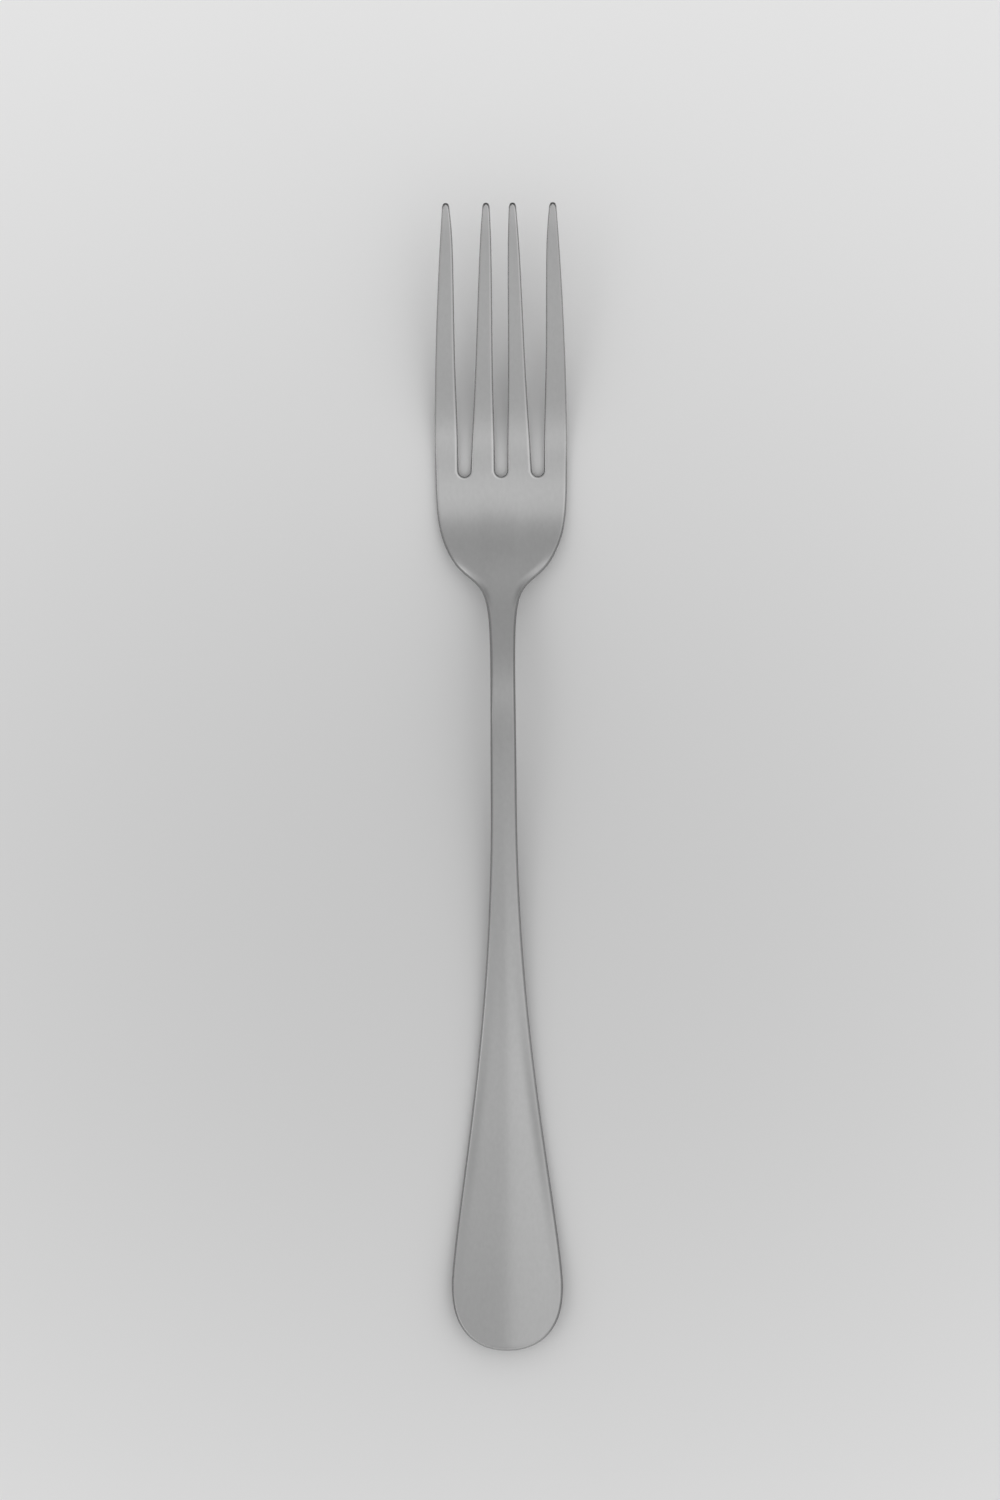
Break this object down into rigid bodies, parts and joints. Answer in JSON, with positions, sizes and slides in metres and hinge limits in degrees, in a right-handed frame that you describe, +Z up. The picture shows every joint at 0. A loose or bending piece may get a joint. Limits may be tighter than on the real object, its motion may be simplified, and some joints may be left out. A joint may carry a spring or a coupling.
{
  "type": "dinner fork",
  "caption": "Table fork pressed from one piece of satin stainless steel, with slim tapered tines, a narrow arched neck and a rounded, ridged handle that widens to its end.",
  "frame": {"origin": "on the table plane, below the middle of the fork's length and width, as it lies face up", "axes": "+Y along the fork from the end of the handle to the tips, +X to the right, +Z up"},
  "size_m": [0.0238, 0.205, 0.0162],
  "materials": {
    "steel": "fine satin, almost matt"
  },
  "bodies": {
    "root": {"fork": "steel"}
  },
  "joints": []
}
